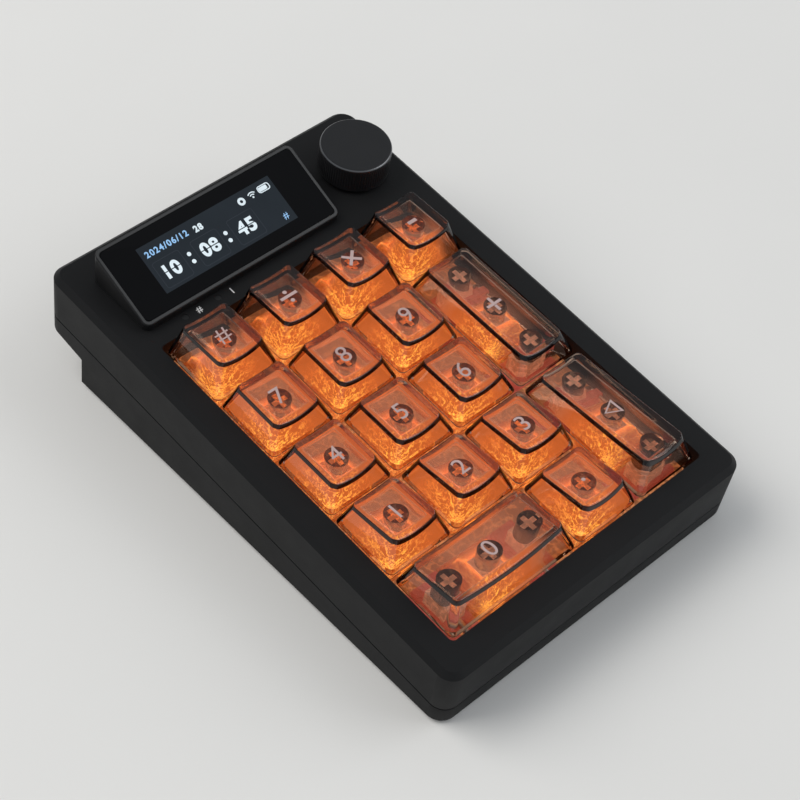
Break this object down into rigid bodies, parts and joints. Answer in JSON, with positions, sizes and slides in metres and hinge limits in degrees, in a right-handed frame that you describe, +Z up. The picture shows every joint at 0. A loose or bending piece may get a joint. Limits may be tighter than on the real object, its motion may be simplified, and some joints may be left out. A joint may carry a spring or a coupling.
{
  "type": "numeric keypad",
  "caption": "Desk numeric keypad: wedge case, smoky clear sprung keys lit from below, tilted clock screen, press-and-turn knob, rear charging port and mode slider.",
  "frame": {"origin": "under the middle of the keypad, on the surface that its feet stand on", "axes": "+X to the user's right, +Y away from the user towards the screen, +Z up"},
  "size_m": [0.0908, 0.1368, 0.0384],
  "materials": {
    "case_plastic": "fine-textured charcoal",
    "smoky_plastic": "clear smoky brown",
    "stem_plastic": "dark brown",
    "housing_plastic": "clear, lit orange",
    "plate_plastic": "white",
    "stabiliser_plastic": "red",
    "board": "dark solder mask",
    "lamp": "lit",
    "light_pipe": "clear",
    "pod_plastic": "satin grey",
    "screen_glass": "black gloss",
    "display": "lit display",
    "knob_metal": "black anodised, knurled",
    "steel": "plain",
    "cell": "foil pouch",
    "black_plastic": "moulded",
    "white_plastic": "moulded",
    "foot_rubber": "soft"
  },
  "bodies": {
    "case": {"upper_case": "case_plastic", "lower_case": "case_plastic", "switch_plate": "plate_plastic", "main_board": "board", "switch_tops": "housing_plastic", "switch_bases": "housing_plastic", "switch_springs": "steel", "stabiliser_housings": "stabiliser_plastic", "backlight_lamps": "lamp", "indicator_pipes": "light_pipe", "screen_pod": "pod_plastic", "screen_glass": "screen_glass", "screen_panel": "display", "encoder_body": "black_plastic", "battery": "cell", "charging_port": "steel", "mode_switch": "black_plastic", "case_screws": "steel", "rubber_feet": "foot_rubber"},
    "key_num": {"keycap_num": "smoky_plastic", "stem_num": "stem_plastic"},
    "key_divide": {"keycap_divide": "smoky_plastic", "stem_divide": "stem_plastic"},
    "key_multiply": {"keycap_multiply": "smoky_plastic", "stem_multiply": "stem_plastic"},
    "key_minus": {"keycap_minus": "smoky_plastic", "stem_minus": "stem_plastic"},
    "key_seven": {"keycap_seven": "smoky_plastic", "stem_seven": "stem_plastic"},
    "key_eight": {"keycap_eight": "smoky_plastic", "stem_eight": "stem_plastic"},
    "key_nine": {"keycap_nine": "smoky_plastic", "stem_nine": "stem_plastic"},
    "key_plus": {"keycap_plus": "smoky_plastic", "stem_plus": "stem_plastic"},
    "key_four": {"keycap_four": "smoky_plastic", "stem_four": "stem_plastic"},
    "key_five": {"keycap_five": "smoky_plastic", "stem_five": "stem_plastic"},
    "key_six": {"keycap_six": "smoky_plastic", "stem_six": "stem_plastic"},
    "key_one": {"keycap_one": "smoky_plastic", "stem_one": "stem_plastic"},
    "key_two": {"keycap_two": "smoky_plastic", "stem_two": "stem_plastic"},
    "key_three": {"keycap_three": "smoky_plastic", "stem_three": "stem_plastic"},
    "key_enter": {"keycap_enter": "smoky_plastic", "stem_enter": "stem_plastic"},
    "key_zero": {"keycap_zero": "smoky_plastic", "stem_zero": "stem_plastic"},
    "key_point": {"keycap_point": "smoky_plastic", "stem_point": "stem_plastic"},
    "wire_plus": {"stabiliser_wire_plus": "steel"},
    "wire_enter": {"stabiliser_wire_enter": "steel"},
    "wire_zero": {"stabiliser_wire_zero": "steel"},
    "plunger": {"encoder_plunger": "white_plastic"},
    "knob": {"knob": "knob_metal", "encoder_shaft": "steel"},
    "slider": {"mode_slider": "black_plastic"}
  },
  "joints": [
    {"name": "num_press", "type": "slide", "parent": "case", "child": "key_num", "axis": [0, 0.0785, -0.9969], "range_m": [0, 0.004], "stiffness_N_per_m": 75, "springref_m": -0.004, "deforming": ["switch_springs"]},
    {"name": "divide_press", "type": "slide", "parent": "case", "child": "key_divide", "axis": [0, 0.0785, -0.9969], "range_m": [0, 0.004], "stiffness_N_per_m": 75, "springref_m": -0.004, "deforming": ["switch_springs"]},
    {"name": "multiply_press", "type": "slide", "parent": "case", "child": "key_multiply", "axis": [0, 0.0785, -0.9969], "range_m": [0, 0.004], "stiffness_N_per_m": 75, "springref_m": -0.004, "deforming": ["switch_springs"]},
    {"name": "minus_press", "type": "slide", "parent": "case", "child": "key_minus", "axis": [0, 0.0785, -0.9969], "range_m": [0, 0.004], "stiffness_N_per_m": 75, "springref_m": -0.004, "deforming": ["switch_springs"]},
    {"name": "seven_press", "type": "slide", "parent": "case", "child": "key_seven", "axis": [0, 0.0785, -0.9969], "range_m": [0, 0.004], "stiffness_N_per_m": 75, "springref_m": -0.004, "deforming": ["switch_springs"]},
    {"name": "eight_press", "type": "slide", "parent": "case", "child": "key_eight", "axis": [0, 0.0785, -0.9969], "range_m": [0, 0.004], "stiffness_N_per_m": 75, "springref_m": -0.004, "deforming": ["switch_springs"]},
    {"name": "nine_press", "type": "slide", "parent": "case", "child": "key_nine", "axis": [0, 0.0785, -0.9969], "range_m": [0, 0.004], "stiffness_N_per_m": 75, "springref_m": -0.004, "deforming": ["switch_springs"]},
    {"name": "plus_press", "type": "slide", "parent": "case", "child": "key_plus", "axis": [0, 0.0785, -0.9969], "range_m": [0, 0.004], "stiffness_N_per_m": 75, "springref_m": -0.004, "deforming": ["switch_springs"]},
    {"name": "four_press", "type": "slide", "parent": "case", "child": "key_four", "axis": [0, 0.0785, -0.9969], "range_m": [0, 0.004], "stiffness_N_per_m": 75, "springref_m": -0.004, "deforming": ["switch_springs"]},
    {"name": "five_press", "type": "slide", "parent": "case", "child": "key_five", "axis": [0, 0.0785, -0.9969], "range_m": [0, 0.004], "stiffness_N_per_m": 75, "springref_m": -0.004, "deforming": ["switch_springs"]},
    {"name": "six_press", "type": "slide", "parent": "case", "child": "key_six", "axis": [0, 0.0785, -0.9969], "range_m": [0, 0.004], "stiffness_N_per_m": 75, "springref_m": -0.004, "deforming": ["switch_springs"]},
    {"name": "one_press", "type": "slide", "parent": "case", "child": "key_one", "axis": [0, 0.0785, -0.9969], "range_m": [0, 0.004], "stiffness_N_per_m": 75, "springref_m": -0.004, "deforming": ["switch_springs"]},
    {"name": "two_press", "type": "slide", "parent": "case", "child": "key_two", "axis": [0, 0.0785, -0.9969], "range_m": [0, 0.004], "stiffness_N_per_m": 75, "springref_m": -0.004, "deforming": ["switch_springs"]},
    {"name": "three_press", "type": "slide", "parent": "case", "child": "key_three", "axis": [0, 0.0785, -0.9969], "range_m": [0, 0.004], "stiffness_N_per_m": 75, "springref_m": -0.004, "deforming": ["switch_springs"]},
    {"name": "enter_press", "type": "slide", "parent": "case", "child": "key_enter", "axis": [0, 0.0785, -0.9969], "range_m": [0, 0.004], "stiffness_N_per_m": 75, "springref_m": -0.004, "deforming": ["switch_springs"]},
    {"name": "zero_press", "type": "slide", "parent": "case", "child": "key_zero", "axis": [0, 0.0785, -0.9969], "range_m": [0, 0.004], "stiffness_N_per_m": 75, "springref_m": -0.004, "deforming": ["switch_springs"]},
    {"name": "point_press", "type": "slide", "parent": "case", "child": "key_point", "axis": [0, 0.0785, -0.9969], "range_m": [0, 0.004], "stiffness_N_per_m": 75, "springref_m": -0.004, "deforming": ["switch_springs"]},
    {"name": "plus_wire_swing", "type": "hinge", "parent": "case", "child": "wire_plus", "pos_m": [0.03698, -0.00344, 0.01755], "axis": [0, -0.9969, -0.0785], "range_deg": [0, 29]},
    {"name": "enter_wire_swing", "type": "hinge", "parent": "case", "child": "wire_enter", "pos_m": [0.03698, -0.04142, 0.01456], "axis": [0, -0.9969, -0.0785], "range_deg": [0, 29]},
    {"name": "zero_wire_swing", "type": "hinge", "parent": "case", "child": "wire_zero", "pos_m": [-0.01905, -0.05929, 0.01315], "axis": [-1, 0, 0], "range_deg": [0, 29]},
    {"name": "knob_press", "type": "slide", "parent": "case", "child": "plunger", "axis": [0, 0.0785, -0.9969], "range_m": [0, 0.0005], "stiffness_N_per_m": 800, "springref_m": -0.002},
    {"name": "knob_turn", "type": "hinge", "parent": "plunger", "child": "knob", "pos_m": [0.03285, 0.04986, 0.02866], "axis": [0, -0.0785, 0.9969], "continuous": true},
    {"name": "mode_slide", "type": "slide", "parent": "case", "child": "slider", "axis": [1, 0, 0], "range_m": [-0.002, 0.002]}
  ],
  "couplings": [
    {"joint": "plus_wire_swing", "follows": "plus_press", "rad_per_m": 126.34},
    {"joint": "enter_wire_swing", "follows": "enter_press", "rad_per_m": 126.34},
    {"joint": "zero_wire_swing", "follows": "zero_press", "rad_per_m": 126.34}
  ]
}
